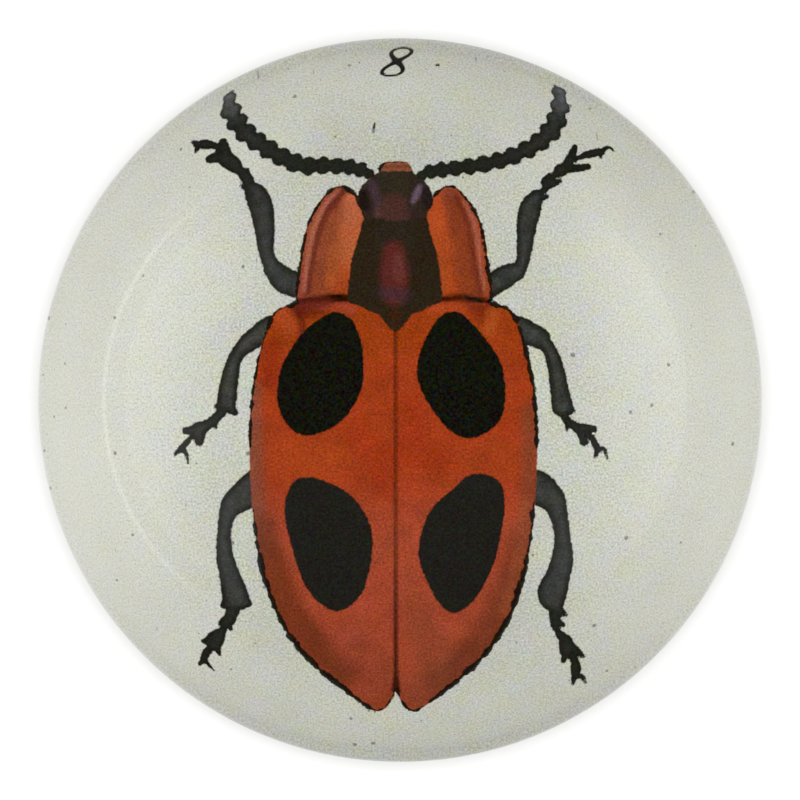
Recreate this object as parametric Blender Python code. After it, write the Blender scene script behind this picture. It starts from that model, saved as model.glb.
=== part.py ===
"""A round paperweight: a solid clear glass dome with a picture glued under its flat base and felt below.

Metres, +Z up. The origin is the middle of the felt's underside, where the paperweight stands.
+Y points to the top of the picture.
"""

import math

import bmesh
import bpy

# Driving dimensions
GLASS_RADIUS = 0.0445
CAP_RISE = 0.0240
SHOULDER_RADIUS = 0.0060
RIM_HEIGHT = 0.0012
ARRIS = 0.0005
PRINT_RADIUS = 0.0440
PRINT_THICKNESS = 0.0004
FELT_RADIUS = 0.0436
FELT_THICKNESS = 0.0015
GLUE_GAP = 0.0003

# Heights of the layers, worked out from the felt upwards
PRINT_BOTTOM = FELT_THICKNESS + GLUE_GAP
GLASS_BOTTOM = PRINT_BOTTOM + PRINT_THICKNESS + GLUE_GAP
RIM_TOP = GLASS_BOTTOM + RIM_HEIGHT
GLASS_TOP = RIM_TOP + CAP_RISE

# How finely the round surfaces are cut into faces
STEPS_ROUND = 96
STEPS_OVER_CAP = 14
STEPS_OVER_SHOULDER = 6
SHARP_ANGLE = math.radians(30)
MERGE_DISTANCE = 0.00005


def clear_scene():
    """Removes whatever objects the file holds."""
    for thing in list(bpy.data.objects):
        bpy.data.objects.remove(thing, do_unlink=True)


def principled(name, colour, roughness, transmission=0.0, ior=1.5):
    """A plain material of the piece's own colour."""
    material = bpy.data.materials.new(name)
    material.use_nodes = True
    shader = material.node_tree.nodes["Principled BSDF"]
    shader.inputs["Base Color"].default_value = (*colour, 1.0)
    shader.inputs["Metallic"].default_value = 0.0
    shader.inputs["Roughness"].default_value = roughness
    shader.inputs["Transmission Weight"].default_value = transmission
    shader.inputs["IOR"].default_value = ior
    return material


def add_object(name, mesh, material):
    """Links a mesh to the scene as one named, smoothly shaded piece."""
    thing = bpy.data.objects.new(name, mesh)
    bpy.context.scene.collection.objects.link(thing)
    mesh.materials.append(material)
    mesh.shade_smooth()
    mesh.set_sharp_from_angle(angle=SHARP_ANGLE)
    return thing


def arc(centre_radius, centre_height, size, first_angle, last_angle, steps):
    """Points on a round stretch of the outline. Angles are measured from straight up, in radians."""
    angles = [first_angle + (last_angle - first_angle) * step / steps for step in range(steps + 1)]
    return [
        (centre_radius + size * math.sin(angle), centre_height + size * math.cos(angle))
        for angle in angles
    ]


def dome_profile():
    """Half the glass's outline, from the top of the cap down its outer side and in along the base, as (radius, height).

    The cap is a stretch of a sphere centred on the axis. It runs without a corner into the shoulder, a smaller arc
    that ends upright where the rim starts.
    """
    shoulder_centre = GLASS_RADIUS - SHOULDER_RADIUS
    sphere_radius = (shoulder_centre**2 + CAP_RISE**2 - SHOULDER_RADIUS**2) / (
        2 * (CAP_RISE - SHOULDER_RADIUS)
    )
    meeting_angle = math.asin(shoulder_centre / (sphere_radius - SHOULDER_RADIUS))
    cap = arc(0.0, GLASS_TOP - sphere_radius, sphere_radius, 0.0, meeting_angle, STEPS_OVER_CAP)
    shoulder = arc(
        shoulder_centre, RIM_TOP, SHOULDER_RADIUS, meeting_angle, math.pi / 2, STEPS_OVER_SHOULDER
    )
    foot = [
        (GLASS_RADIUS, GLASS_BOTTOM + ARRIS),
        (GLASS_RADIUS - ARRIS, GLASS_BOTTOM),
        (0.0, GLASS_BOTTOM),
    ]
    return cap + shoulder[1:] + foot


def glass_dome():
    """The glass: its outline turned once round the upright axis."""
    outline = dome_profile()
    mesh = bpy.data.meshes.new("glass_dome")
    mesh.from_pydata(
        [(radius, 0.0, height) for radius, height in outline],
        [(i, i + 1) for i in range(len(outline) - 1)],
        [],
    )
    glass = principled("clear crystal", (0.95, 0.97, 0.95), 0.0, transmission=1.0, ior=1.52)
    dome = add_object("glass_dome", mesh, glass)
    turning = dome.modifiers.new("turn", "SCREW")
    turning.axis = "Z"
    turning.angle = math.tau
    turning.steps = STEPS_ROUND
    turning.render_steps = STEPS_ROUND
    turning.use_merge_vertices = True
    turning.merge_threshold = MERGE_DISTANCE
    turning.use_smooth_shade = True
    return dome


def disc(name, radius, bottom, thickness, material):
    """A flat round layer, centred on the upright axis."""
    shape = bmesh.new()
    bmesh.ops.create_cone(
        shape,
        cap_ends=True,
        segments=STEPS_ROUND,
        radius1=radius,
        radius2=radius,
        depth=thickness,
    )
    mesh = bpy.data.meshes.new(name)
    shape.to_mesh(mesh)
    shape.free()
    layer = add_object(name, mesh, material)
    layer.location.z = bottom + thickness / 2
    return layer


def main():
    clear_scene()
    glass_dome()
    paper = principled("rag paper", (0.60, 0.62, 0.54), 0.8)
    disc("beetle_print", PRINT_RADIUS, PRINT_BOTTOM, PRINT_THICKNESS, paper)
    felt = principled("wool felt", (0.020, 0.022, 0.021), 0.95)
    disc("felt_base", FELT_RADIUS, 0.0, FELT_THICKNESS, felt)


main()
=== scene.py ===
"""Dresses a round paperweight: a clear crystal dome, a hand-coloured print glued under it, and felt below.

Everything is in metres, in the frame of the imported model. What is drawn on the paper is in millimetres from
the middle of the picture, +Y towards its top.
"""

import math

import bpy
import numpy as np
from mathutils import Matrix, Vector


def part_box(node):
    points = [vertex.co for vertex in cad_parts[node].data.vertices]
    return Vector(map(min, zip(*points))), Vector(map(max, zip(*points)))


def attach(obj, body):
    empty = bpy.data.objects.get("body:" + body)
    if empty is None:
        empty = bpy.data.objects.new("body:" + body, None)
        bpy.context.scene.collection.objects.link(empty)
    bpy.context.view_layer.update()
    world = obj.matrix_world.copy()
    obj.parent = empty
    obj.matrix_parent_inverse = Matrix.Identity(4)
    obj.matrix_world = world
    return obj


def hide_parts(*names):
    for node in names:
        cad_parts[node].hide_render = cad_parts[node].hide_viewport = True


bl_info = {
    "name": "Glass Dome Paperweight",
    "version": (1, 0, 0),
    "blender": (4, 5, 0),
    "location": "3D View > Sidebar > Paperweight",
    "description": "Clear crystal dome over a hand-coloured beetle print, with a felt base and a studio",
    "category": "Object",
}

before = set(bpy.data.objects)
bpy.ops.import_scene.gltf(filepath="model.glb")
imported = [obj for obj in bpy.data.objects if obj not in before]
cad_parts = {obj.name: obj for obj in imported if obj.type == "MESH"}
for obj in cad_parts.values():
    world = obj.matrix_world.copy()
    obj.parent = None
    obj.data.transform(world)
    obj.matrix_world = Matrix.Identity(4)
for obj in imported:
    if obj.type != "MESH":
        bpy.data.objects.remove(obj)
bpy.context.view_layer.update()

MM = 0.001
SHARP_ANGLE = math.radians(30)
LENGTH = {"unit": "LENGTH", "subtype": "DISTANCE"}


# Colours and nodes

def linear(code):
    """Turns an sRGB hex colour into linear red, green and blue."""
    shares = [int(code[i:i + 2], 16) / 255 for i in (1, 3, 5)]
    return tuple(s / 12.92 if s <= 0.04045 else ((s + 0.055) / 1.055) ** 2.4 for s in shares)


def add(tree, kind, inputs=(), **settings):
    """Adds a node with its settings. inputs holds what goes into its sockets, in order or by name: a value,
    or a socket or node to link from."""
    made = tree.nodes.new("ShaderNode" + kind)
    for name, value in settings.items():
        setattr(made, name, value)
    sockets = [socket for socket in made.inputs if socket.enabled]
    named = {socket.name: socket for socket in sockets}
    for key, value in inputs.items() if isinstance(inputs, dict) else enumerate(inputs):
        socket = named[key] if isinstance(inputs, dict) else sockets[key]
        if isinstance(value, bpy.types.Node):
            value = next(result for result in value.outputs if result.enabled)
        if isinstance(value, bpy.types.NodeSocket):
            tree.links.new(value, socket)
        else:
            socket.default_value = (*value, 1.0)[:4] if socket.type == "RGBA" else value
    return made


def new_material(name):
    """A material with no nodes yet, and its node tree."""
    material = bpy.data.materials.new(name)
    material.use_nodes = True
    material.node_tree.nodes.clear()
    return material, material.node_tree


def per_metre(size_mm):
    """The scale that makes one cell of a pattern about this many millimetres wide."""
    return 1 / (size_mm * MM)


# Shapes as arrays

def ease(start, end, value):
    """Runs smoothly from 0 where value is start to 1 where it is end: 3t squared minus 2t cubed."""
    t = np.clip((value - start) / (end - start), 0, 1)
    return t * t * (3 - 2 * t)


def mix(first, second, share):
    """Colours first and second mixed, with a share of the second for every point."""
    return np.asarray(first) + (np.asarray(second) - np.asarray(first)) * share[:, None]


def flowing(points, steps=6, closed=False):
    """A smooth run through points of any number of columns: a Catmull-Rom curve, where each stretch is the
    cubic whose slope at a point is half the step from the point before to the point after."""
    p = np.array(points, float)
    if len(p) < 3:
        return p
    around = np.vstack((p[-1], p, p[:2])) if closed else np.vstack((2 * p[0] - p[1], p, 2 * p[-1] - p[-2]))
    a, b, c, d = (around[i:len(around) - 3 + i, None] for i in range(4))
    t = np.linspace(0, 1, steps, endpoint=False)[None, :, None]
    run = b + 0.5 * t * ((c - a) + t * ((2 * a - 5 * b + 4 * c - d) + t * (3 * (b - c) + d - a)))
    run = run.reshape(-1, p.shape[1])
    return run if closed else np.vstack((run, p[-1:]))


def to_piece(x, y, start, end):
    """For every point, its distance to a straight piece, and how far along that is nearest, from 0 to 1."""
    (ax, ay), (dx, dy) = start, np.subtract(end, start)
    t = np.clip(((x - ax) * dx + (y - ay) * dy) / (dx * dx + dy * dy + 1e-12), 0, 1)
    return np.hypot(x - ax - t * dx, y - ay - t * dy), t


def outline_distance(x, y, outline):
    """Distance from every point to a closed outline, below zero inside.

    It is the least distance to the outline's straight pieces. A point is inside where a line drawn from it to
    the right crosses the outline an odd number of times.
    """
    nearest = np.full(x.shape, np.inf)
    inside = np.zeros(x.shape, bool)
    for (ax, ay), (bx, by) in zip(outline, np.roll(outline, -1, axis=0)):
        nearest = np.minimum(nearest, to_piece(x, y, (ax, ay), (bx, by))[0])
        if ay != by:
            inside ^= ((ay > y) != (by > y)) & (x < ax + (y - ay) / (by - ay) * (bx - ax))
    return np.where(inside, -nearest, nearest)


def stroke_distance(x, y, route):
    """Distance from every point to the edge of a pen stroke, below zero inside: the least distance to a
    straight piece of its route, less the half width there. The route has rows of x, y and half width."""
    nearest = np.full(x.shape, np.inf)
    for (ax, ay, half), (bx, by, next_half) in zip(route, route[1:]):
        distance, t = to_piece(x, y, (ax, ay), (bx, by))
        nearest = np.minimum(nearest, distance - half - t * (next_half - half))
    return nearest


def make_piece(name, points, faces, material, attributes=None):
    """Puts arrays of points and faces into a new object, with its point attributes and one material."""
    mesh = bpy.data.meshes.new(name)
    mesh.from_pydata(points.tolist(), [], faces)
    for label, values in (attributes or {}).items():
        if values.ndim == 1:
            mesh.attributes.new(label, "FLOAT", "POINT").data.foreach_set("value", values)
        else:
            rgba = np.hstack((values, np.ones((len(values), 1))))
            mesh.attributes.new(label, "FLOAT_COLOR", "POINT").data.foreach_set("color", rgba.ravel())
    mesh.shade_smooth()
    mesh.set_sharp_from_angle(angle=SHARP_ANGLE)
    mesh.materials.append(material)
    piece = bpy.data.objects.new(name, mesh)
    bpy.context.scene.collection.objects.link(piece)
    return piece


def turned(radii, heights, steps, fuzz=None):
    """A profile turned round the upright axis: point (i, j) is (r_i cos a_j, r_i sin a_j, h_i) for evenly
    spaced angles a_j. The profile runs from the axis at the top, down the outer side, to the axis at the
    bottom, and its two ends become single points. fuzz adds to the radius of each point between them."""
    angle = np.arange(steps) * (math.tau / steps)
    radius = np.repeat(radii[1:-1, None], steps, axis=1) + (0 if fuzz is None else fuzz)
    height = np.repeat(heights[1:-1, None], steps, axis=1)
    rings = np.dstack((radius * np.cos(angle), radius * np.sin(angle), height)).reshape(-1, 3)
    points = np.vstack((rings, (0, 0, heights[0]), (0, 0, heights[-1])))
    index = np.arange(len(rings)).reshape(-1, steps)
    after = np.roll(index, -1, axis=1)
    quads = np.stack((index[:-1], index[1:], after[1:], after[:-1]), axis=-1).reshape(-1, 4)
    top, bottom = len(rings), len(rings) + 1
    cap = np.stack((np.full(steps, top), index[0], after[0]), axis=-1)
    base = np.stack((np.full(steps, bottom), after[-1], index[-1]), axis=-1)
    return points, quads.tolist() + cap.tolist() + base.tolist()


def arc(centre_radius, centre_height, size, first_angle, last_angle, steps):
    """A round stretch of a profile: centre plus size times (sine, cosine) of angles that start upright."""
    angle = np.linspace(first_angle, last_angle, steps)
    return np.column_stack((centre_radius + size * np.sin(angle), centre_height + size * np.cos(angle)))


# The crystal dome

CAP_RINGS, SHOULDER_RINGS, BASE_RINGS = 90, 36, 8


class CrystalSettings(bpy.types.PropertyGroup):
    """Sizes of the glass's shoulder and foot, and how the crystal bends and takes up light."""

    shoulder: bpy.props.FloatProperty(
        name="Shoulder radius", description="Radius of the round shoulder below the cap",
        default=6 * MM, **LENGTH)
    rim: bpy.props.FloatProperty(
        name="Rim height", description="Height of the upright rim below the shoulder",
        default=1.2 * MM, **LENGTH)
    arris: bpy.props.FloatProperty(
        name="Arris", description="Width of the ground bevel round the foot",
        default=0.5 * MM, **LENGTH)
    ior: bpy.props.FloatProperty(
        name="Refractive index", description="Refractive index of the crystal", default=1.52)
    tint: bpy.props.FloatVectorProperty(
        name="Tint", description="Colour that is left of white light deep inside the crystal",
        default=linear("#dfeee2"), subtype="COLOR")
    density: bpy.props.FloatProperty(
        name="Tint density", description="How fast the crystal takes up light, per metre", default=1.5)


def dome_profile(settings):
    """The glass's profile, from the top of the cap to the middle of the base, as radii and heights.

    The cap is a stretch of a sphere round the axis. It runs without a corner into the shoulder, a smaller arc
    that ends upright where the rim starts. With the sphere's radius s, the cap's rise h, the shoulder's
    radius f and its centre's distance c from the axis, s = (c squared + h squared - f squared) / 2(h - f).
    """
    low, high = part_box("glass_dome")
    radius, bottom, top = high.x, low.z, high.z
    rim_top = bottom + settings.rim
    rise = top - rim_top
    centre = radius - settings.shoulder
    sphere = (centre**2 + rise**2 - settings.shoulder**2) / (2 * (rise - settings.shoulder))
    meeting = math.asin(centre / (sphere - settings.shoulder))
    cap = arc(0.0, top - sphere, sphere, 0.0, meeting, CAP_RINGS)
    shoulder = arc(centre, rim_top, settings.shoulder, meeting, math.pi / 2, SHOULDER_RINGS)
    base = np.linspace(radius - settings.arris, 0.0, BASE_RINGS)
    foot = np.column_stack((base, np.full(len(base), bottom)))
    edge = [(radius, bottom + settings.arris)]
    profile = np.vstack((cap, shoulder[1:], edge, foot))
    return profile[:, 0], profile[:, 1]


def polished_crystal(settings):
    """Polished lead-free crystal: colourless, with a breath of green where light goes a long way through.

    The eye gets a mirror-smooth face, sharp bent images, and a frosted line where the foot was ground.
    """
    material, tree = new_material("polished crystal")
    place = add(tree, "TexCoord").outputs["Object"]
    height = add(tree, "SeparateXYZ", [place]).outputs["Z"]
    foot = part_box("glass_dome")[0].z
    frosted = add(tree, "MapRange", (height, foot + settings.arris, foot + 0.9 * settings.arris, 0.0, 0.35))
    shader = add(tree, "BsdfPrincipled", {
        "Base Color": (1.0, 1.0, 1.0), "IOR": settings.ior, "Transmission Weight": 1.0, "Roughness": frosted})
    depth = add(tree, "VolumeAbsorption", {"Color": tuple(settings.tint), "Density": settings.density})
    add(tree, "OutputMaterial", {"Surface": shader, "Volume": depth})
    return material


class PAPERWEIGHT_OT_shape_crystal(bpy.types.Operator):
    """Turns the dome of clear crystal"""

    bl_idname = "paperweight.shape_crystal"
    bl_label = "Crystal dome"

    STEPS_ROUND = 256

    def execute(self, context):
        settings = context.scene.paperweight_crystal
        points, faces = turned(*dome_profile(settings), self.STEPS_ROUND)
        dome = make_piece("crystal_dome", points, faces, polished_crystal(settings))
        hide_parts("glass_dome")
        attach(dome, "root")
        return {"FINISHED"}


# The beetle's drawing, in millimetres on the paper

# The middle of the beetle, how far it leans to one side, and a distance past all that is drawn
MIDLINE = -0.45
HAND_LEAN = 0.018
FAR = 9.0

# Beads on a feeler
BEADS = 14

# Half outlines of what is the same on both sides, as (distance from the midline, height), from the top down
WING_CASE = (
    (6, 11.5), (10.3, 10.2), (12.4, 9.3), (13.4, 7.2), (14.2, 4.4), (14.8, 1), (15.1, -3), (15.1, -7.4),
    (14.8, -13), (14.1, -18.2), (12.8, -22.8), (10.9, -26.6), (8.4, -29.7), (5.4, -32.5), (3.4, -34.3),
    (2.2, -35.1), (1.2, -34.7), (0.5, -33.5), (0, -32.1),
)
NECK_SHIELD = (
    (1.5, 18.5), (2.8, 18.8), (3.1, 19.9), (3.7, 21.3), (4.9, 22.6), (5.9, 22.95), (7.1, 22.3), (8.6, 20.2),
    (9.5, 17.6), (9.9, 14.6), (10.2, 10.3), (7.8, 10.4), (5.5, 10.7), (4.5, 10.2), (1.9, 9),
)
BLACK_BAND = (
    (1.5, 19.3), (3.4, 19), (3.6, 18.1), (3.9, 17), (4.5, 15), (4.75, 13), (4.95, 11), (4.75, 10.2),
    (3.6, 9.75), (2.6, 9.2), (1.7, 8.85), (1.1, 8.1), (0.55, 7.4), (0, 7),
)
HEAD = (
    (1.2, 24.6), (1.8, 24.5), (2.6, 23.9), (3.4, 23.1), (4, 21.9), (4.05, 20.9), (3.5, 20), (3.1, 19),
    (1.5, 18.7),
)
LIP = ((0.6, 25.75), (1.2, 25.65), (1.7, 25.1), (1.8, 24.5), (1.4, 24.1), (0.6, 24))

# The black spots' outlines, clockwise from the top
SPOTS = (
    ((-6.8, 9.2), (-5, 8.3), (-4.1, 6.2), (-3.75, 3.3), (-4.2, 0.6), (-5.8, -1.9), (-8.2, -3.4),
     (-10.4, -3.6), (-12.2, -2), (-12.85, 0.8), (-12.2, 3.9), (-10.3, 6.9), (-8.5, 8.4)),
    ((5.6, 9.2), (6.9, 8.6), (9.2, 6), (10.6, 3.6), (11, 0.6), (10.5, -2), (9, -3.4), (7.1, -4),
     (5.2, -3.2), (3.4, -1.1), (2.1, 1.3), (1.75, 3.4), (2.5, 6.1), (4.2, 8.7)),
    ((-10.3, -8.1), (-8, -8.4), (-5.4, -9.7), (-3.6, -11.9), (-2.85, -14.6), (-3.2, -17.8), (-4.2, -20.8),
     (-6.4, -22.6), (-8.5, -21.8), (-10.2, -19.6), (-11.4, -15.8), (-12.15, -12), (-11.7, -9.4)),
    ((7.2, -7.8), (9.2, -7.8), (10.6, -8.8), (11, -10.8), (10.8, -13.2), (10, -17.2), (8.6, -20.4),
     (7.2, -22.1), (5.8, -22.8), (4.4, -22), (3, -19.5), (2, -16.8), (2.2, -14), (3.4, -11.2),
     (5.6, -9.2)),
)

# How the red of the wing cases changes along them: from one height to another, to which colour and how far
CASE_TONES = ((-6, -16, "#a0462d", 1), (-26, -34, "#96442b", 0.8), (2, 7, "#943b11", 0.8))

# Brushwork over the red: rows of (x, y, half width), how far the stroke fades, its colour and its strength
BRUSHWORK = (
    # Wing cases: lighter middles, a deeper red beside the suture, purplish outer edges
    (((-12, -6, 0.5), (-8, -6.3, 0.8)), 3.5, "#aa451e", 0.5),
    (((8, -5.6, 0.6), (11, -6.2, 0.6)), 3.2, "#a0411c", 0.5),
    (((-4.5, -3.8, 0.3), (-2.2, -6, 0.5), (-1.8, -9, 0.2)), 2.2, "#963116", 0.6),
    (((1.2, -1, 0.3), (1.6, -5.5, 0.6), (4, -6.2, 0.3)), 2.2, "#953015", 0.6),
    (((-13.3, 5.5, 0.3), (-13.7, 1.8, 0.3)), 1.3, "#892b10", 0.7),
    (((-15.5, 1, 0.2), (-15.8, -4, 0.6), (-15.4, -11, 0.3), (-14.9, -17, 0.3)), 1.5, "#864a37", 0.85),
    (((13.6, -1.5, 0.2), (13.9, -7, 0.4), (13.8, -13, 0.4)), 1.6, "#834229", 0.8),
    (((-14.4, -13.5, 0.4), (-13, -20, 0.7), (-10.5, -25, 0.8), (-6, -30, 0.5)), 2, "#6d3219", 0.8),
    (((13, -16, 0.4), (11.6, -21.5, 0.7), (9, -26.5, 0.8), (5, -30.5, 0.5)), 2.6, "#703721", 0.8),
    (((13.2, -11, 0.1), (12.4, -18.5, 0.3), (11.2, -22.5, 0.2)), 0.9, "#96512f", 0.35),
    (((2, -23.5, 0.3), (4, -29, 0.8), (2.5, -33, 0.5)), 2.4, "#84432c", 0.5),
    (((-6, -26, 0.3), (-3, -31, 0.6)), 2.6, "#934330", 0.45),
    # The shadow of the neck shield on the wing cases, and the creases inside both shoulders
    (((-10.8, 9.6, 0.3), (-9.6, 9.5, 0.4), (-8.4, 9.6, 0.2)), 1.2, "#64230f", 0.9),
    (((-10.6, 9.8, 0.25), (-10.4, 8.2, 0.2), (-10.2, 7.2, 0.05)), 0.6, "#591c10", 0.8),
    (((7.4, 10.1, 0.2), (8.3, 9.6, 0.5), (8.8, 8.6, 0.2)), 1, "#6e2611", 0.85),
    (((-8, 9.9, 0.1), (-6.4, 10, 0.2), (-4.9, 9.4, 0.1)), 0.7, "#aa4636", 0.6),
    (((3.4, 9.4, 0.1), (5.2, 9.9, 0.2), (6.6, 9.6, 0.1)), 0.7, "#ab4524", 0.5),
    (((-12.4, 9, 0.3), (-11.5, 7.6, 0.4)), 1.1, "#b04d26", 0.6),
    (((9.6, 8.9, 0.2), (9.3, 7.4, 0.2)), 1, "#aa5122", 0.6),
)
SHIELD_BRUSHWORK = (
    # Neck shield: a brown hollow inside each fold, the fold itself, then the light on the rolled rim
    (((-5.4, 21.6, 0.3), (-5.3, 19.6, 0.5)), 1.3, "#bc6848", 0.6),
    (((-7.2, 20.5, 0.4), (-7.9, 17.5, 0.6), (-8.3, 13.5, 0.8), (-8.7, 11.4, 0.9)), 1.5, "#803e29", 0.8),
    (((-6.2, 22.2, 0.2), (-7.2, 20.7, 0.3)), 0.6, "#6c2d1d", 0.6),
    (((-7, 16, 0.2), (-7.3, 12.5, 0.2)), 0.7, "#b0592a", 0.5),
    (((5.6, 21.2, 0.4), (6.6, 17.5, 0.7), (7.2, 13.5, 0.8), (7.6, 11.4, 0.7)), 1.5, "#803a1e", 0.85),
    (((3.9, 20.8, 0.1), (4.2, 16.5, 0.3), (4.8, 12, 0.2)), 1, "#ab4a20", 0.7),
    (((5.2, 22.2, 0.3), (5.8, 21.8, 0.2)), 0.6, "#86412e", 0.8),
    (((-6.6, 22.6, 0.2), (-8.3, 20.3, 0.3), (-9.3, 17.4, 0.4), (-9.9, 14.2, 0.4), (-10.4, 10.8, 0.4)), 0.6,
     "#87412f", 0.75),
    (((6.5, 22, 0.2), (7.6, 19.4, 0.2), (8.3, 16.6, 0.2), (8.6, 13.8, 0.2), (9.1, 10.9, 0.2)), 0.5,
     "#944428", 0.6),
    (((-6, 22.6, 0.3), (-6.9, 21.6, 0.3), (-7.7, 20.2, 0.15), (-8.7, 17.4, 0.12), (-9.3, 14.6, 0.12),
     (-9.7, 11.4, 0.15)), 0.45, "#66291d", 0.8),
    (((6, 21.6, 0.05), (7, 19.4, 0.1), (7.5, 16.8, 0.12), (7.9, 14, 0.1), (8.4, 11.2, 0.1)), 0.4,
     "#682a1b", 0.75),
    (((-6.6, 22.4, 0.05), (-8, 20.8, 0.1), (-9.1, 18.2, 0.12), (-9.7, 15, 0.08), (-10.1, 11.4, 0.02)), 0.3,
     "#b36a54", 0.75),
    (((6.8, 21.2, 0.05), (7.8, 18.9, 0.1), (8.3, 16.3, 0.1), (8.5, 13.6, 0.06), (8.9, 11.6, 0.02)), 0.28,
     "#b2705c", 0.5),
    (((-11, 10.3, 0.1), (-8.4, 10.53, 0.2), (-6.8, 10.66, 0.28), (-5.2, 10.6, 0.22)), 0.36, "#1e0a02", 0.97),
    (((-10.4, 10, 0.2), (-8.8, 10.1, 0.2), (-7.4, 10.2, 0.1)), 0.6, "#67231c", 0.8),
    (((4.4, 10.5, 0.14), (6.2, 10.7, 0.16), (8, 10.5, 0.12), (9.6, 10.3, 0.08)), 0.34, "#371106", 0.95),
)
HEAD_BRUSHWORK = (
    (((-0.8, 23.9, 1.1), (-0.5, 22, 1.2)), 0.7, "#322d20", 0.9),
    (((-0.6, 20.6, 1), (-0.6, 19.8, 1.2)), 0.8, "#4e3029", 0.85),
    (((-3, 23.2, 0.1), (-2.7, 22.2, 0.2), (-2.3, 20.9, 0.1)), 0.6, "#4a3640", 0.75),
    (((2.1, 22.8, 0.1), (1.8, 22, 0.22), (1.4, 21.1, 0.08)), 0.35, "#6b5a66", 0.9),
    (((-3.9, 21.9, 0.2), (-3.8, 20.6, 0.3)), 0.6, "#1a1512", 0.9),
    (((3, 22.2, 0.3), (3.1, 20.9, 0.4)), 0.6, "#201a1b", 0.85),
    (((-2.4, 20.3, 0.05), (-2.4, 19.6, 0.1)), 0.4, "#6a4646", 0.5),
)
BAND_BRUSHWORK = (
    (((-0.4, 18.4, 1), (-0.6, 17.4, 1.6)), 1, "#2d2720", 0.7),
    (((-0.7, 15.6, 0.5), (-0.6, 13.4, 0.9), (-0.6, 11, 0.6)), 1.1, "#5c2822", 0.95),
    (((-0.2, 14.9, 0.2), (-0.1, 13, 0.3)), 0.6, "#6a3832", 0.6),
    (((-1.6, 11.2, 0.3), (0.4, 10.9, 0.4)), 0.8, "#3b2a33", 0.6),
    (((-0.5, 8.9, 0.4), (-0.5, 7.9, 0.2)), 0.6, "#38210f", 0.8),
)

# Feelers from root to tip, as (x, y, half width)
FEELERS = (
    ((-3, 24.1, 0.5), (-4.3, 24.8, 0.9), (-5.6, 25.2, 0.9), (-7, 25.3, 0.95), (-8.5, 25.4, 1),
     (-10, 25.4, 1.05), (-11.6, 25.9, 1.1), (-13.4, 26.9, 1.1), (-15.3, 28.3, 1.15), (-17.4, 30.1, 1.2),
     (-19, 32.4, 1.25), (-19.9, 34.5, 1.1), (-19.7, 36.3, 0.3)),
    ((2, 23.8, 0.5), (3.1, 24.5, 0.8), (4.6, 24.8, 0.9), (6.1, 25, 0.9), (7.7, 25.3, 0.95),
     (9.5, 25.7, 1), (11.4, 26.3, 1), (13.3, 27.2, 1.05), (15.3, 28.5, 1.1), (17.2, 30.6, 1.2),
     (18.3, 33.3, 1.15), (18.6, 35.5, 1), (18.2, 36.9, 0.3)),
)

# Thighs and shins, from the body outwards, then the spurs at the end of each shin
UPPER_LEGS = (
    ((-10.4, 11.9, 1.3), (-12.1, 12.6, 1.4), (-13.5, 13.9, 1)),
    ((-13.5, 14.1, 0.9), (-14.2, 15.6, 0.85), (-14.5, 18.5, 1.15), (-15, 20.9, 1.35), (-15.7, 22.4, 1.2),
     (-16.4, 23.2, 0.7)),
    ((-16, 22.7, 0.6), (-17.4, 23.4, 0.2)),
    ((8.8, 11.4, 1.1), (9.6, 12, 1.15), (11.1, 13, 1.25), (12.1, 13.5, 1)),
    ((12.4, 13.4, 0.85), (13, 14.7, 0.75), (13.3, 16.6, 0.9), (13.6, 19, 1.15), (14.1, 20.8, 1.2),
     (14.9, 22.2, 0.7)),
    ((14.9, 21.9, 0.7), (16.1, 22.1, 0.2)),
    ((-13.6, 7.7, 1.2), (-14.5, 7.1, 1.2), (-16, 6, 1.05)),
    ((-16.2, 5.9, 0.95), (-17.3, 4.6, 0.8), (-17.8, 3.1, 0.9), (-18.1, 1.5, 1.05), (-18.3, -0.2, 1.1)),
    ((-19.5, -0.7, 0.25), (-18.4, -0.5, 0.7), (-17.4, -1.3, 0.4)),
    ((11.8, 7.7, 1.3), (12.8, 7.3, 1.35), (14.7, 6.5, 1.15)),
    ((14.9, 6.4, 0.8), (15.9, 4.9, 0.8), (16.5, 2.8, 0.95), (16.8, 1, 1.05), (17.1, -0.6, 1.2)),
    ((17.1, -1.6, 0.35), (17.2, -0.8, 0.95), (18.3, -1.2, 0.25)),
    ((-14.9, -9, 1.85), (-16.4, -10, 1.6), (-17.8, -11.1, 1.3), (-18.2, -12, 0.95)),
    ((-18.4, -12, 0.95), (-18.7, -13.4, 0.8), (-18.9, -15.2, 0.85), (-18.8, -17.3, 1.05),
     (-18.3, -19.4, 1.3), (-17.9, -21.3, 1.6)),
    ((-16.2, -22.1, 0.25), (-17.8, -21.8, 1.2), (-19.5, -22.6, 0.3)),
    ((13.4, -8.9, 1.8), (14.8, -9.4, 1.75), (16.2, -10.6, 1.35), (16.7, -11.6, 1.1)),
    ((16.7, -11.6, 1.1), (17.2, -13.6, 0.9), (17.4, -15.4, 1), (17.4, -17.3, 1.3), (17, -19.1, 1.45),
     (16.5, -20.8, 1.7), (16.8, -22.1, 1.1)),
    ((16.7, -22.2, 0.8), (18.2, -23.6, 0.25)),
)

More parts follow.
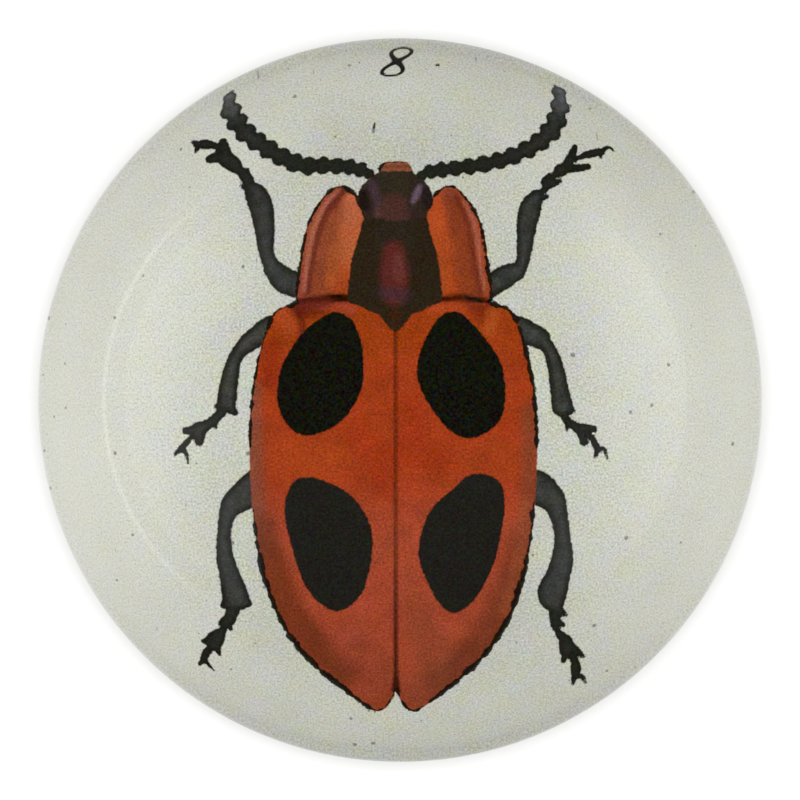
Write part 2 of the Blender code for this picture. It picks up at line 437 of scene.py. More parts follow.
# Feet: the joints with their lobes and spurs, then the last joint and its pair of claws
FEET = (
    ((-16.4, 23.4, 0.6), (-16.8, 24.3, 0.7), (-17.8, 25.5, 0.5)),
    ((-16.9, 24.6, 0.6), (-16.8, 25.3, 0.3)),
    ((-17.8, 25.4, 0.5), (-18.6, 26.2, 0.95), (-19.9, 27.3, 0.9)),
    ((-19.5, 27.5, 0.75), (-20, 29.2, 0.5)),
    ((-19.9, 27.2, 0.75), (-21.3, 27.1, 0.6)),
    ((-20.2, 27.9, 0.4), (-20.8, 28.6, 0.4), (-22.2, 29.1, 0.65), (-23.2, 29.2, 0.5)),
    ((-23.9, 29.7, 0.2), (-23.1, 29.2, 0.4), (-23.2, 28.2, 0.2)),
    ((15, 22.2, 0.5), (15.7, 22.9, 0.4), (16.1, 23.7, 0.75)),
    ((16.4, 24.7, 0.3), (16.1, 23.7, 0.7), (17.6, 24, 0.25)),
    ((16.5, 24.2, 0.35), (17, 24.7, 0.35), (17.7, 25.3, 0.75), (18.4, 25.8, 0.6)),
    ((18.3, 25.6, 0.6), (19.1, 27.1, 0.55), (19.7, 28.5, 0.3)),
    ((18.4, 25.6, 0.6), (19.8, 25.8, 0.5), (21, 26.1, 0.4)),
    ((19.4, 26.6, 0.25), (20, 27.1, 0.3), (21.4, 27.7, 0.5), (22.8, 28.2, 0.5)),
    ((22.8, 28.2, 0.4), (23.8, 28.9, 0.25), (24.4, 28.6, 0.2)),
    ((22.5, 28, 0.3), (22.7, 27.4, 0.2)),
    ((-18.7, -1.2, 0.5), (-19.6, -2, 0.55), (-20.5, -2.7, 0.6)),
    ((-19.7, -2.2, 0.45), (-19.5, -2.9, 0.2)),
    ((-20.5, -2.6, 0.55), (-21.5, -3.3, 1)),
    ((-21.6, -3.3, 0.75), (-23, -3.3, 0.4)),
    ((-21.4, -3.5, 0.75), (-21.4, -4.4, 0.55)),
    ((-22, -3.7, 0.35), (-22.6, -4.3, 0.3), (-23.4, -5.2, 0.45)),
    ((-24.3, -5.9, 0.15), (-23.4, -5.3, 0.4), (-22.9, -5.8, 0.25), (-22.7, -6.7, 0.15)),
    ((17.2, -1.5, 0.5), (17.7, -2.2, 0.45), (18.5, -2.8, 0.5)),
    ((17.6, -2.1, 0.4), (17.6, -3.1, 0.2)),
    ((18.4, -2.7, 0.5), (19.2, -3.2, 0.65)),
    ((19.3, -3, 0.55), (20.6, -3.1, 0.4)),
    ((19.2, -3.4, 0.6), (19.5, -4.4, 0.5)),
    ((19.9, -3.5, 0.35), (20.3, -3.9, 0.35), (20.8, -4.7, 0.4), (21.1, -5.3, 0.4)),
    ((20.8, -6.1, 0.2), (21.1, -5.3, 0.35), (21.8, -5.3, 0.25), (22.2, -6.3, 0.15)),
    ((-18.2, -22.7, 0.8), (-18.6, -23.8, 0.7), (-19.1, -24.6, 0.75)),
    ((-20, -24.9, 0.25), (-19.1, -24.3, 0.6), (-18.7, -25.4, 0.25)),
    ((-19.4, -25.1, 0.45), (-19.7, -25.6, 0.45), (-20.6, -26.7, 1), (-21, -27.4, 0.9)),
    ((-20.7, -26.7, 0.75), (-22.2, -27.2, 0.3)),
    ((-20.8, -27.2, 0.75), (-20.4, -28.6, 0.3)),
    ((-21.2, -27.8, 0.45), (-22, -28.7, 0.5), (-22.4, -29.6, 0.5)),
    ((-23.1, -30.4, 0.2), (-22.4, -29.8, 0.4), (-21.9, -30.2, 0.25), (-21.3, -31, 0.15)),
    ((16.9, -22.9, 0.7), (17, -24.2, 0.65), (17.1, -25, 0.45)),
    ((18, -24.8, 0.25), (17.1, -24.3, 0.6)),
    ((17.2, -25.1, 0.35), (17.5, -25.7, 0.4), (18.3, -26.7, 0.75), (18.7, -27.8, 1)),
    ((18.8, -27.4, 0.75), (20.8, -29, 0.25)),
    ((18.7, -27.9, 0.75), (18.4, -29.4, 0.3)),
    ((19.3, -28.7, 0.5), (19.7, -29.4, 0.5), (20, -30.7, 0.65), (20.1, -31.5, 0.5)),
    ((19.9, -32.7, 0.2), (20, -31.6, 0.45), (20.8, -31.7, 0.35), (21.5, -32.7, 0.2)),
)

# Small marks of the pen: a point beside the numeral, a stray line above the head and two at the left tip
PEN_MARKS = (
    ((4.3, 38.7, 0.2), (4.45, 38.7, 0.2)),
    ((-2.75, 30.5, 0.08), (-2.85, 29.9, 0.17), (-2.95, 29.2, 0.07)),
    ((-3, -34.7, 0.16), (-2.8, -35.4, 0.08)),
    ((-3.5, -34.6, 0.12), (-3.5, -35.2, 0.06)),
)


class PrintSettings(bpy.types.PropertyGroup):
    """Colours of the paper, the watercolours and the inks."""

    # The paper tone mixes these two: the darker colour goes in the paper's mottling and in the painted shade
    # on its middle, top and bottom; the pale colour goes in the painted light at its sides
    paper: bpy.props.FloatVectorProperty(
        name="Paper", description="Colour of the paper where it has stayed palest",
        default=linear("#eff0e5"), subtype="COLOR")
    darker_paper: bpy.props.FloatVectorProperty(
        name="Aged paper", description="Colour of the paper where it has darkened with age",
        default=linear("#c9cabe"), subtype="COLOR")
    red: bpy.props.FloatVectorProperty(
        name="Wing case red", description="Main watercolour of the wing cases",
        default=linear("#9c3a19"), subtype="COLOR")
    ink: bpy.props.FloatVectorProperty(
        name="Printing ink", description="Black of the outlines and the limbs",
        default=linear("#22231c"), subtype="COLOR")


def both_sides(half):
    """A closed outline from a half one. The right half is the mirror image of the left, and the whole leans a
    little to the left, as a hand draws it."""
    distance, height = flowing(half).T
    left = np.column_stack((MIDLINE - distance * (1 + HAND_LEAN), height))
    right = np.column_stack((MIDLINE + distance * (1 - HAND_LEAN), height))
    return np.vstack((left, right[::-1]))


def brushed(colour, x, y, strokes):
    """Colours with soft strokes laid over them in turn. A stroke covers all that it may within its half
    width, and fades out smoothly over its given distance."""
    for route, fade, paint, strength in strokes:
        cover = strength * ease(fade, 0.0, stroke_distance(x, y, flowing(route)))
        colour = mix(colour, linear(paint), cover)
    return colour


def feeler_beads(points):
    """Strokes for a feeler through its given points: its core, and a short stroke across it for every bead.

    With s the share of the feeler's length, s^0.8 times the number of beads counts them, and they grow
    towards the tip. A bead's stroke is as thick as the beads are far apart, and reaches 1.1 times the given
    half width on both sides.
    """
    route = flowing(points, 14)
    along = np.append(0.0, np.cumsum(np.hypot(*np.diff(route[:, :2], axis=0).T)))
    count = BEADS * (along / along[-1]) ** 0.8
    middles = np.arange(0.5, BEADS)
    x, y, half = (np.interp(middles, count, column) for column in route.T)
    spacing = np.interp(middles, count, np.gradient(along, count + 1e-6 * along))
    step = np.gradient(np.column_stack((x, y)), axis=0)
    across = step[:, ::-1] * (-1, 1) / np.hypot(*step.T)[:, None]
    half = 1.1 * half
    thick = np.minimum(0.47 * spacing, half)
    reach = across * (half - thick)[:, None]
    ends = (np.column_stack((x, y)) + sign * reach for sign in (-1, 1))
    first, second = (np.column_stack((end, thick)) for end in ends)
    return [route * (1, 1, 0.72)] + [np.stack(bead) for bead in zip(first, second)]


def draw_limbs(x, y):
    """Distance to the nearest feeler or leg, and how grey its wash is: 0 at the inked edges, about 1 along
    the middle of a shin, and more where the feelers pale towards their tips and on the middle pair of legs,
    where the extra grey is a painted reflection."""
    edge = np.full(x.shape, np.inf)
    grey = np.zeros(x.shape)
    for feeler in FEELERS:
        distance = np.min([stroke_distance(x, y, stroke) for stroke in feeler_beads(feeler)], axis=0)
        wash = (0.1 + 0.5 * ease(24.8, 29.0, y)) * ease(-0.1, -0.8, distance)
        wash += 3.4 * ease(30.5, 36.5, y) * ease(0.1, -0.6, distance)
        grey, edge = np.maximum(grey, wash), np.minimum(edge, distance)
    for routes, strength in ((UPPER_LEGS, 1.0), (FEET, 0.4), (PEN_MARKS, 0.0)):
        for route in routes:
            distance = stroke_distance(x, y, flowing(route))
            # The middle pair of legs gets a lighter grey: a painted reflection of the tent's side light in
            # the glass
            middle_legs_reflection = ease(9.0, 7.0, y) * ease(-7.0, -5.0, y)
            wash = (strength + 0.3 * middle_legs_reflection) * ease(-0.15, -0.85, distance)
            grey, edge = np.maximum(grey, wash), np.minimum(edge, distance)
    return edge, grey


def draw_washes(x, y, settings):
    """Distance to the edge of the red-painted parts, and their colour."""
    cases = outline_distance(x, y, both_sides(WING_CASE))
    shield = outline_distance(x, y, both_sides(NECK_SHIELD))
    lip = outline_distance(x, y, both_sides(LIP))

    red = settings.red
    for start, end, paint, share in CASE_TONES:
        red = mix(red, linear(paint), share * ease(start, end, y))
    red = brushed(red, x, y, BRUSHWORK)

    lobe = mix(linear("#b45c34"), linear("#ab4b26"), ease(-1.0, 1.0, x))
    lobe = mix(lobe, linear("#9f4118"), 0.9 * ease(16.0, 12.0, y))
    lobe = np.where((shield < 0)[:, None], lobe, red)
    colour = brushed(lobe, x, y, SHIELD_BRUSHWORK)

    mouth = mix(linear("#91563c"), linear("#6c3726"), ease(0.35, 0.0, np.abs(y - 25.1)))
    colour = np.where((lip < 0.2)[:, None], mouth, colour)
    return np.minimum(np.minimum(cases, shield), lip), colour


def draw_marks(x, y):
    """Distance to the edge of the black marks that lie over the red, and their colour."""
    spots = np.full(x.shape, np.inf)
    for spot in SPOTS:
        spots = np.minimum(spots, outline_distance(x, y, flowing(spot, closed=True)))
    band = outline_distance(x, y, both_sides(BLACK_BAND))
    head = outline_distance(x, y, both_sides(HEAD))

    colour = mix(linear("#13140d"), linear("#201f1a"), ease(-3.0, -8.5, y))
    brown = brushed(np.broadcast_to(linear("#2b2216"), colour.shape), x, y, BAND_BRUSHWORK)
    skull = brushed(np.broadcast_to(linear("#322620"), colour.shape), x, y, HEAD_BRUSHWORK)
    colour = np.where((band < 0.15)[:, None], brown, colour)
    colour = np.where(((head < 0.1) & (y > 19.1))[:, None], skull, colour)
    return np.minimum(np.minimum(spots, band), head), colour


def outline_width(x, y):
    """Half width of the ink line round the red parts. It is fuller on the right, below, at the left shoulder
    and inside the left lobe, finer at the very top, and it runs out where the hind legs join."""
    right = ease(1.0, 6.0, x)
    below = ease(-10.0, -22.0, y) * ease(2.5, 5.0, np.abs(x - MIDLINE))
    shoulder = ease(7.0, 8.5, y) * ease(-10.0, -11.5, x)
    lobe = ease(19.0, 20.0, y) * ease(-6.6, -5.6, x) * ease(0.0, -2.0, x)
    joins = ease(-4.0, -6.0, y) * ease(-12.0, -10.0, y)
    tops = ease(18.5, 21.0, y) * ease(-2.0, -1.0, x) * (0.07 + 0.03 * ease(23.4, 24.4, y))
    line = 0.11 + 0.11 * right + (0.20 - 0.11 * right) * below
    return line + 0.08 * shoulder + 0.18 * lobe - 0.35 * joins - tops


def numeral_distance(x, y):
    """Distance from every point to a pen-drawn 8, leaning to the right, below zero in the ink.

    With u across and v up, both 1 at the loops' ends, the line is u squared = 4 v squared (1 - v squared).
    The distance is that difference divided by its slope, less the pen's half width, greatest in the middle.
    """
    middle, half_width, half_height, lean = (-0.35, 39.2), 1.15, 2.15, 0.35
    up = (y - middle[1]) / half_height
    across = (x - middle[0] - lean * (y - middle[1])) / half_width
    value = across**2 - 4 * up**2 * (1 - up**2)
    slope = np.hypot(2 * across / half_width, (16 * up**3 - 8 * up) / half_height)
    near = (np.abs(up) < 1.4) & (np.abs(across) < 1.8)
    pen = 0.15 + 0.11 * np.cos(np.clip(1.4 * up, -1.5, 1.5))
    return np.where(near, np.abs(value / (slope + 0.15)) - pen, FAR)


def seam_distance(x, y):
    """Distance to the edge of the seam between the wing cases, below zero in it. It starts under the black
    band, and widens downwards and again at the tip."""
    half = 0.16 + 0.08 * ease(-14.0, -26.0, y) + 0.24 * ease(-29.5, -32.5, y)
    return np.abs(x - MIDLINE) - half + FAR * ((y > 8.0) | (y < -32.6))


def paper_tone_and_light(x, y):
    """How pale the paper is, mostly from 0 to 1. It is paler at the left and right and at the lower left, and
    darker under the beetle, at the very top and bottom and at the upper right. The paler sides and the darker
    middle, top and bottom are painted light and painted shade, for the tent's side light that falls on the
    paper through the dome."""
    away, middle = np.abs(x), np.hypot(x, y)
    sides = (1.1 - 0.06 * np.sign(x)) * ease(12.0, 42.0, away)
    rim = -0.2 * ease(40.0, 43.0, middle) * ease(15.0, 30.0, np.abs(y))
    ends = (0.5 + 0.09 * np.sign(y)) * ease(25.0, 38.0, middle) - 0.40 * ease(39.5, 44.0, middle)
    upper = 0.2 * ease(-5.0, 20.0, y) * ease(6.0, 16.0, away)
    upper = upper * ease(16.0, 24.0, middle) * ease(36.0, 30.0, middle)
    upper_right = -0.16 * ease(26.0, 38.0, 0.5 * x + 0.87 * y)
    lower_left = 0.12 * ease(20.0, 38.0, -0.77 * x - 0.64 * y)
    return sides + rim + ends * ease(36.0, 12.0, away) + upper + upper_right + lower_left - 0.15


def picture_sheet(radius, bottom, top, steps):
    """A closed round sheet. Its face is a square grid pressed into a disc: x = r u root(1 - v squared / 2)
    and y = r v root(1 - u squared / 2), for u and v from -1 to 1. Edge and back hang from its border."""
    line = np.linspace(-1, 1, steps + 1)
    u, v = np.meshgrid(line, line)
    x, y = radius * u * np.sqrt(1 - v**2 / 2), radius * v * np.sqrt(1 - u**2 / 2)
    index = np.arange(x.size).reshape(x.shape)
    face = np.stack((index[:-1, :-1], index[:-1, 1:], index[1:, 1:], index[1:, :-1]), axis=-1).reshape(-1, 4)
    border = np.concatenate((index[0, :-1], index[:-1, -1], index[-1, :0:-1], index[:0:-1, 0]))
    count, size = len(border), x.size
    lower = size + np.arange(count)
    edge = np.stack((lower, np.roll(lower, -1), np.roll(border, -1), border), axis=-1)
    back = np.stack((np.full(count, size + count), np.roll(lower, -1), lower), axis=-1)
    front = np.column_stack((x.ravel(), y.ravel(), np.full(size, top)))
    rim = front[border] * (1, 1, 0) + (0, 0, bottom)
    points = np.vstack((front, rim, (0, 0, bottom)))
    return points, face.tolist() + edge.tolist() + back.tolist(), size


def laid_over(tree, colour, layers):
    """The colour with layers laid over it in turn. A layer has the distance to its edge in millimetres, how
    soft the edge is, its own colour and how far it covers."""
    for edge, soft, paint, opacity in layers:
        cover = add(tree, "MapRange", (edge, soft, -soft, 0.0, opacity))
        colour = add(tree, "Mix", (cover, colour, paint), data_type="RGBA")
    return colour


def toned_rag(tree, place, tone, settings):
    """Rag paper: toned and softly clouded, with small specks and dashes of dirt. Its tone holds painted light
    and painted shade.
    """
    clouds = add(tree, "TexNoise", {"Vector": place, "Scale": per_metre(7.0), "Detail": 5.0})
    clouded = add(tree, "Math", (clouds, 0.26, tone), operation="MULTIPLY_ADD")
    paper = add(tree, "Mix", (clouded, settings.darker_paper, settings.paper), data_type="RGBA", clamp_factor=False)
    slanted = add(tree, "Mapping", {"Vector": place, "Rotation": (0.0, 0.0, 1.2), "Scale": (1.0, 0.2, 1.0)})
    # Specks, then dashes: their spacing, the values of a cell between which they grow, radius and darkness
    for way, apart, least, most, radius, opacity in (
            (place, 5.0, 0.5, 0.85, 0.25, 0.6), (slanted, 6.0, 0.6, 0.9, 0.16, 0.5)):
        cells = add(tree, "TexVoronoi", {"Vector": way, "Scale": per_metre(apart)}, voronoi_dimensions="2D")
        inwards = add(tree, "MapRange", (cells.outputs["Color"], least, most, 0.0, -radius))
        edge = add(tree, "Math", (cells.outputs["Distance"], apart, inwards), operation="MULTIPLY_ADD")
        paper = laid_over(tree, paper, [(edge, 0.05, settings.ink, opacity)])
    return paper


def grained(tree, place, colour):
    """The colour with the sheet's grain over it. The real sheet's fibres and stipple are finer, and these are
    as coarse as they need to be to show. Its sizing has yellowed in places and left others bluish."""
    fibres = add(tree, "TexNoise", {"Vector": place, "Scale": per_metre(0.23), "Detail": 2.0})
    tints = add(tree, "TexNoise", {"Vector": place, "Scale": per_metre(2.5), "Detail": 4.0})
    shade = add(tree, "MapRange", (fibres, 0.0, 1.0, 0.71, 1.29))
    sizing = add(tree, "TexNoise", {
        "Vector": place, "Scale": per_metre(3.0), "Detail": 7.0, "Roughness": 0.75})
    sized = add(tree, "Mix", (sizing, linear("#bcbc83"), linear("#bcbce5")), data_type="RGBA")
    dust = add(tree, "TexNoise", {"Vector": place, "Scale": per_metre(0.25), "Detail": 1.0})
    for share, layer, way in (
            (1.0, shade, "MULTIPLY"), (0.5, fibres, "OVERLAY"), (0.2, fibres.outputs["Color"], "OVERLAY"),
            (0.12, tints.outputs["Color"], "OVERLAY"), (1.0, sized, "OVERLAY"),
            (0.014, dust.outputs["Color"], "LINEAR_LIGHT")):
        colour = add(tree, "Mix", (share, colour, layer), data_type="RGBA", blend_type=way)
    return colour


def printed_paper(settings):
    """Old rag paper with a stipple-engraved figure, coloured by hand and glued under the glass.

    The eye gets a greyish, faintly mottled ground with specks, ragged edges where the ink sat on the grain,
    and watercolour that pooled unevenly. Glue fills the pores, so the face has no gloss of its own.
    """
    material, tree = new_material("hand-coloured engraving on rag paper")
    place = add(tree, "TexCoord").outputs["Object"]
    # The paper tone among these holds painted light and painted shade
    drawn = {
        name: add(tree, "Attribute", attribute_name=name).outputs["Color" if "colour" in name else "Fac"]
        for name in (
            "paper_tone_and_light", "limb_edge", "limb_grey", "wash_edge", "wash_colour", "line_width", "seam",
            "mark_edge", "mark_colour", "numeral")}

    # Raggedness of ink on the grain, in millimetres either side of the line that was drawn
    grain = add(tree, "TexNoise", {"Vector": place, "Scale": per_metre(0.4), "Detail": 3.0})
    ragged = add(tree, "Math", (grain, 0.36, -0.18), operation="MULTIPLY_ADD")
    slight = add(tree, "Math", (ragged, 0.5), operation="MULTIPLY")
    blots = add(tree, "TexNoise", {"Vector": place, "Scale": per_metre(1.1), "Detail": 3.0})
    blotted = add(tree, "Math", (blots, -1.0, 0.50), operation="MULTIPLY_ADD")

    # The limbs' grey comes and goes along them, and the red has pooled
    streaks = add(tree, "Math", (blots, 2.4, -0.2), operation="MULTIPLY_ADD")
    streaked = add(tree, "Math", (streaks, drawn["limb_grey"]), operation="MULTIPLY")
    limb_ink = add(
        tree, "Mix", (streaked, settings.ink, linear("#3a3b38")), data_type="RGBA", clamp_factor=False)
    pools = add(tree, "TexNoise", {"Vector": place, "Scale": per_metre(2.6), "Detail": 5.0})
    pooled = add(tree, "MapRange", (pools, 0.3, 0.7, 0.88, 1.12))
    wash = add(tree, "Mix", (1.0, drawn["wash_colour"], pooled), data_type="RGBA", blend_type="MULTIPLY")

    limb = add(tree, "Math", (drawn["limb_edge"], ragged), operation="ADD")
    wash_edge = add(tree, "Math", (drawn["wash_edge"], slight), operation="ADD")
    inward = add(tree, "Math", (wash_edge, 0.10), operation="ADD")
    centred = add(tree, "Math", [inward], operation="ABSOLUTE")
    line = add(tree, "Math", (centred, drawn["line_width"]), operation="SUBTRACT")
    line = add(tree, "Math", (line, blotted), operation="ADD")
    seam = add(tree, "Math", (drawn["seam"], slight), operation="ADD")
    mark = add(tree, "Math", (drawn["mark_edge"], ragged), operation="ADD")

    colour = laid_over(tree, toned_rag(tree, place, drawn["paper_tone_and_light"], settings), (
        (limb, 0.07, limb_ink, 1.0),
        (wash_edge, 0.07, wash, 1.0),
        (line, 0.05, linear("#16160f"), 0.97),
        (seam, 0.16, linear("#2b1109"), 0.9),
        (mark, 0.08, drawn["mark_colour"], 1.0),
        (drawn["numeral"], 0.06, settings.ink, 1.0)))
    shader = add(tree, "BsdfPrincipled", {
        "Base Color": grained(tree, place, colour), "Roughness": 0.9, "Specular IOR Level": 0.0})
    add(tree, "OutputMaterial", {"Surface": shader})
    return material


class PAPERWEIGHT_OT_print_beetle(bpy.types.Operator):
    """Draws and colours the beetle on its round of paper"""

    bl_idname = "paperweight.print_beetle"
    bl_label = "Beetle print"

    STEPS = 304
    IN_GLUE = 0.05 * MM

    def execute(self, context):
        settings = context.scene.paperweight_print
        low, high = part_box("beetle_print")
        # Glue leaves no air between picture and glass, so the picture's face lies a hair inside the crystal
        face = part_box("glass_dome")[0].z + self.IN_GLUE
        points, faces, front = picture_sheet(high.x, low.z, face, self.STEPS)
        x, y = points[:front, 0] / MM, points[:front, 1] / MM

        limb_edge, limb_grey = draw_limbs(x, y)
        wash_edge, wash_colour = draw_washes(x, y, settings)
        mark_edge, mark_colour = draw_marks(x, y)
        drawing = {
            "limb_edge": limb_edge, "limb_grey": limb_grey, "wash_edge": wash_edge,
            "wash_colour": wash_colour, "mark_edge": mark_edge, "mark_colour": mark_colour,
            "line_width": outline_width(x, y), "seam": seam_distance(x, y),
            "numeral": numeral_distance(x, y), "paper_tone_and_light": paper_tone_and_light(x, y)}
        # The sheet's edge and back are bare paper, far from anything drawn
        rest = len(points) - front
        bare = {"paper_tone_and_light": 0.2, "wash_colour": 0.0, "mark_colour": 0.0}
        drawing = {
            label: np.concatenate((values, np.full((rest, *values.shape[1:]), bare.get(label, FAR))))
            for label, values in drawing.items()}
        sheet = make_piece("beetle_picture", points, faces, printed_paper(settings), drawing)
        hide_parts("beetle_print")
        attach(sheet, "root")
        return {"FINISHED"}


# The felt base

class FeltSettings(bpy.types.PropertyGroup):
    """Colour and edge of the felt."""

    wool: bpy.props.FloatVectorProperty(
        name="Wool", description="Colour of the felt", default=linear("#2b2d2c"), subtype="COLOR")
    edge: bpy.props.FloatProperty(
        name="Edge rounding", description="Radius of the felt's soft cut edge",
        default=0.4 * MM, **LENGTH)


def wool_felt(settings):
    """Pressed wool felt, cut with a punch: matt and deep, with matted hairs that catch low light."""
    material, tree = new_material("pressed wool felt")
    place = add(tree, "TexCoord").outputs["Object"]
    hairs = add(tree, "TexNoise", {
        "Vector": place, "Scale": per_metre(0.35), "Detail": 6.0, "Distortion": 1.6})
    tufts = add(tree, "TexNoise", {"Vector": place, "Scale": per_metre(4.0), "Detail": 3.0})
    share = add(tree, "Math", (hairs, tufts), operation="MULTIPLY")
    shade = add(tree, "MapRange", (share, 0.12, 0.4, 0.6, 1.9))
    colour = add(tree, "Mix", (1.0, settings.wool, shade), data_type="RGBA", blend_type="MULTIPLY")
    relief = add(tree, "Bump", {"Height": hairs, "Distance": 0.12 * MM, "Strength": 0.8})
    shader = add(tree, "BsdfPrincipled", {
        "Base Color": colour, "Roughness": 0.95, "Specular IOR Level": 0.2, "Sheen Weight": 0.35,
        "Sheen Roughness": 0.4, "Normal": relief})
    add(tree, "OutputMaterial", {"Surface": shader})
    return material


class PAPERWEIGHT_OT_lay_felt(bpy.types.Operator):
    """Cuts the felt disc with its soft edge"""

    bl_idname = "paperweight.lay_felt"
    bl_label = "Felt base"

    STEPS_ROUND, EDGE_RINGS = 720, 8
    FUZZ = 0.05 * MM
    # Waves round the cut edge, and how far each slants from one level to the next
    WAVES = ((97, 1.7), (151, -2.9), (211, 4.1))

    def execute(self, context):
        settings = context.scene.paperweight_felt
        low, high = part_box("felt_base")
        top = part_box("beetle_print")[0].z
        radius, edge = high.x, settings.edge
        inner = np.array([(0.0, top), (radius / 2, top)])
        upper = arc(radius - edge, top - edge, edge, 0.0, math.pi / 2, self.EDGE_RINGS)
        lower = arc(radius - edge, low.z + edge, edge, math.pi / 2, math.pi, self.EDGE_RINGS)
        outer = np.array([(radius / 2, low.z), (0.0, low.z)])
        profile = np.vstack((inner, upper, lower, outer))
        turn = np.arange(self.STEPS_ROUND) * (math.tau / self.STEPS_ROUND)
        level = np.arange(len(profile) - 2)[:, None]
        waves = sum(np.sin(count * turn + slant * level) for count, slant in self.WAVES)
        fuzz = waves / len(self.WAVES) * self.FUZZ * (profile[1:-1, :1] > radius / 2 + edge)
        points, faces = turned(profile[:, 0], profile[:, 1], self.STEPS_ROUND, fuzz)
        felt = make_piece("wool_felt", points, faces, wool_felt(settings))
        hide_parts("felt_base")
        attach(felt, "root")
        return {"FINISHED"}


# The studio

class StudioSettings(bpy.types.PropertyGroup):
    """Camera height, what the camera frames, and the light."""

    camera_height: bpy.props.FloatProperty(
        name="Camera height", description="Height of the camera above the floor",
        default=0.7, **LENGTH)
    framed_width: bpy.props.FloatProperty(
        name="Framed width", description="Width that the view covers at the height of the picture",
        default=98.6 * MM, **LENGTH)
    floor: bpy.props.FloatVectorProperty(
        name="Floor", description="Colour of the matt floor", default=linear("#f3f3f2"), subtype="COLOR")
    side_light: bpy.props.FloatProperty(
        name="Side light", description="Brightness of the tent's left and right sides", default=1.7)
    end_light: bpy.props.FloatProperty(
        name="End light", description="Brightness of the tent above and below the picture", default=1.4)
    mirrored_light: bpy.props.FloatProperty(
        name="Mirrored light", description="Brightness of what the glass mirrors", default=1.0)


def matt_board(settings):
    """Matt coated board: even and pale, with a faint tooth."""
    material, tree = new_material("matt coated board")
    place = add(tree, "TexCoord").outputs["Object"]
    tooth = add(tree, "TexNoise", {"Vector": place, "Scale": per_metre(6.0), "Detail": 5.0})
    shade = add(tree, "MapRange", (tooth, 0.0, 1.0, 0.985, 1.0))
    colour = add(tree, "Mix", (1.0, settings.floor, shade), data_type="RGBA", blend_type="MULTIPLY")
    shader = add(tree, "BsdfPrincipled", {"Base Color": colour, "Roughness": 0.9, "Specular IOR Level": 0.1})
    add(tree, "OutputMaterial", {"Surface": shader})
    return material


def tent_cloth(strength):
    """White tent cloth lit from behind, as the glass mirrors it. Its glow comes with the mesh."""
    material, tree = new_material("lit tent cloth")
    glow = add(tree, "Attribute", attribute_name="glow").outputs["Fac"]
    cloth = add(tree, "Emission", {
        "Color": (1.0, 1.0, 1.0), "Strength": add(tree, "Math", (glow, strength), operation="MULTIPLY")})
    add(tree, "OutputMaterial", {"Surface": cloth})
    material.cycles.emission_sampling = "NONE"
    return material


def mirrored_tent(radius):
    """What the polished glass mirrors: a sphere of cloth round the table that only mirrored light reaches.

    Its points run by bearing and height. The white table comes up smoothly below the horizon. On each side
    the tent's lit wall has a crisp lower edge and fades upwards. The edge rises by 6 degrees times the square
    of the bearing's share of 45 degrees, and on the left a thin bright seam runs 6 degrees below it.
    """
    left_edge, right_edge, edge_rise, seam_drop, columns = 14.0, 10.5, 6, 6, 180
    rows = np.concatenate((np.linspace(88, 24, 25), np.linspace(23.8, 6, 90), np.linspace(4, -88, 47)))
    height = np.repeat(rows, columns)
    turn = np.tile(np.arange(columns) * (math.tau / columns), len(rows))
    tilt, side = np.radians(height), np.cos(turn)
    direction = np.column_stack((np.cos(tilt) * side, np.cos(tilt) * np.sin(turn), np.sin(tilt)))
    table = (0.72 + 0.16 * side**2) * ease(0.0, -19.0, height + 4 - 8 * side**2)
    bearing = np.degrees(np.arctan2(np.abs(np.sin(turn)), np.abs(side))) / 45
    above = height - edge_rise * bearing**2 - np.where(side > 0, right_edge, left_edge)
    wall = (0.72 + 0.06 * side + 0.3 * np.sin(turn)) * ease(0.0, 1.2, above) * ease(36.0, 8.0, above)
    wall = wall * ease(1.25, 0.7, bearing)
    seam = 1.5 * (side < 0) * ease(1.1, 0.2, np.abs(above + seam_drop)) * ease(1.25, 0.6, bearing)
    index = np.arange(len(height)).reshape(-1, columns)
    after = np.roll(index, -1, axis=1)
    faces = np.stack((index[:-1], after[:-1], after[1:], index[1:]), axis=-1).reshape(-1, 4)
    return radius * direction, faces.tolist(), table + wall + seam


def light_tent(scene, settings):
    """A tent of white cloth, brighter at its left and right sides than towards the picture's top and bottom.
    Its brightness goes by the square of the sideways part of the direction that is looked in."""
    world = bpy.data.worlds.new("light tent")
    world.use_nodes = True
    tree = world.node_tree
    tree.nodes.clear()
    direction = add(tree, "TexCoord").outputs["Generated"]
    sideways = add(tree, "SeparateXYZ", [direction]).outputs["X"]
    square = add(tree, "Math", (sideways, sideways), operation="MULTIPLY")
    strength = add(tree, "MapRange", (square, 0.0, 1.0, settings.end_light, settings.side_light))
    cloth = add(tree, "Background", {"Color": (1.0, 1.0, 1.0), "Strength": strength})
    add(tree, "OutputWorld", {"Surface": cloth})
    scene.world = world
    world.cycles_visibility.glossy = False


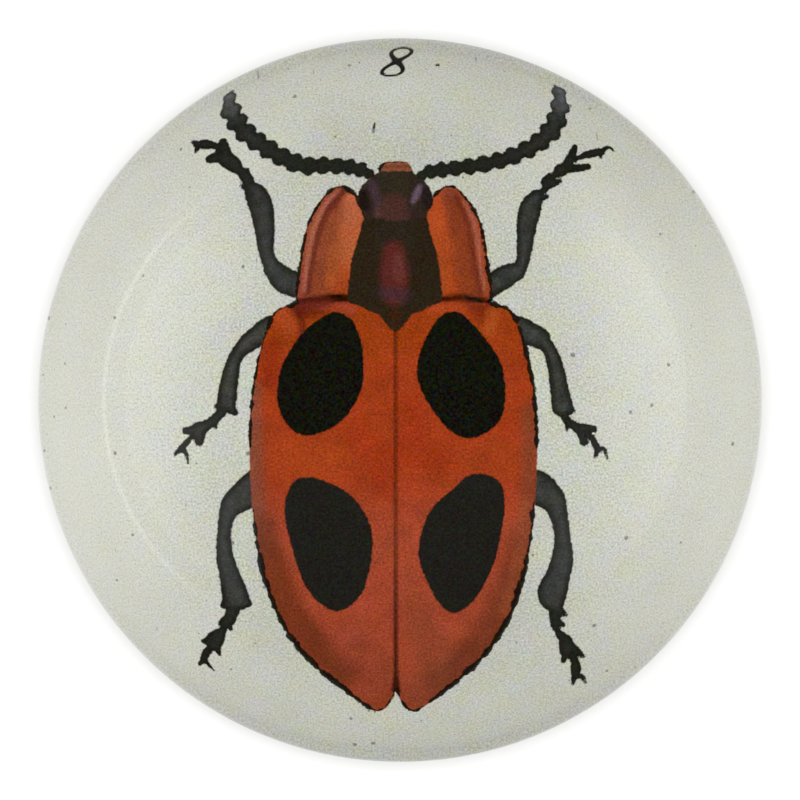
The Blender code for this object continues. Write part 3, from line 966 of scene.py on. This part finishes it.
class PAPERWEIGHT_OT_build_studio(bpy.types.Operator):
    """Lays the floor and sets up the light and the camera straight above"""

    bl_idname = "paperweight.build_studio"
    bl_label = "Studio"

    FLOOR_RADIUS = 2.5
    BOARD = 0.003
    STEPS_ROUND = 96
    TENT_RADIUS = 1.5

    def execute(self, context):
        scene = context.scene
        settings = scene.paperweight_studio
        radii = np.array([0.0, self.FLOOR_RADIUS, self.FLOOR_RADIUS, 0.0])
        heights = np.array([0.0, 0.0, -self.BOARD, -self.BOARD])
        points, faces = turned(radii, heights, self.STEPS_ROUND)
        floor = make_piece("floor", points, faces, matt_board(settings))
        # The mirrored tent stands in for the board and the tent in all that the glass mirrors
        floor.visible_glossy = False
        light_tent(scene, settings)
        points, faces, glow = mirrored_tent(self.TENT_RADIUS)
        tent = make_piece("mirrored_tent", points, faces, tent_cloth(settings.mirrored_light), {"glow": glow})
        tent.visible_camera = tent.visible_diffuse = tent.visible_transmission = tent.visible_shadow = False

        camera = bpy.data.objects.new("camera", bpy.data.cameras.new("camera"))
        scene.collection.objects.link(camera)
        camera.location = (0.0, 0.0, settings.camera_height)
        distance = settings.camera_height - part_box("glass_dome")[0].z
        camera.data.lens = camera.data.sensor_width * distance / settings.framed_width
        camera.data.dof.use_dof = False
        scene.camera = camera
        scene.view_settings.view_transform = "Standard"
        return {"FINISHED"}


class PAPERWEIGHT_PT_sidebar(bpy.types.Panel):
    """Lists the paperweight's settings and its operators"""

    bl_label = "Paperweight"
    bl_idname = "PAPERWEIGHT_PT_sidebar"
    bl_space_type = "VIEW_3D"
    bl_region_type = "UI"
    bl_category = "Paperweight"

    def draw(self, context):
        for group, (_, operator) in SECTIONS.items():
            settings = getattr(context.scene, group)
            box = self.layout.box()
            for name in settings.bl_rna.properties.keys():
                if name not in ("rna_type", "name"):
                    box.prop(settings, name)
            box.operator(operator.bl_idname)


SECTIONS = {
    "paperweight_crystal": (CrystalSettings, PAPERWEIGHT_OT_shape_crystal),
    "paperweight_print": (PrintSettings, PAPERWEIGHT_OT_print_beetle),
    "paperweight_felt": (FeltSettings, PAPERWEIGHT_OT_lay_felt),
    "paperweight_studio": (StudioSettings, PAPERWEIGHT_OT_build_studio),
}
CLASSES = (*(kind for section in SECTIONS.values() for kind in section), PAPERWEIGHT_PT_sidebar)


def register():
    for kind in CLASSES:
        bpy.utils.register_class(kind)
    for name, (settings, _) in SECTIONS.items():
        setattr(bpy.types.Scene, name, bpy.props.PointerProperty(type=settings))


def unregister():
    for name in SECTIONS:
        delattr(bpy.types.Scene, name)
    for kind in reversed(CLASSES):
        bpy.utils.unregister_class(kind)


def main():
    register()
    bpy.ops.paperweight.shape_crystal()
    bpy.ops.paperweight.print_beetle()
    bpy.ops.paperweight.lay_felt()
    bpy.ops.paperweight.build_studio()


if __name__ == "__main__":
    main()
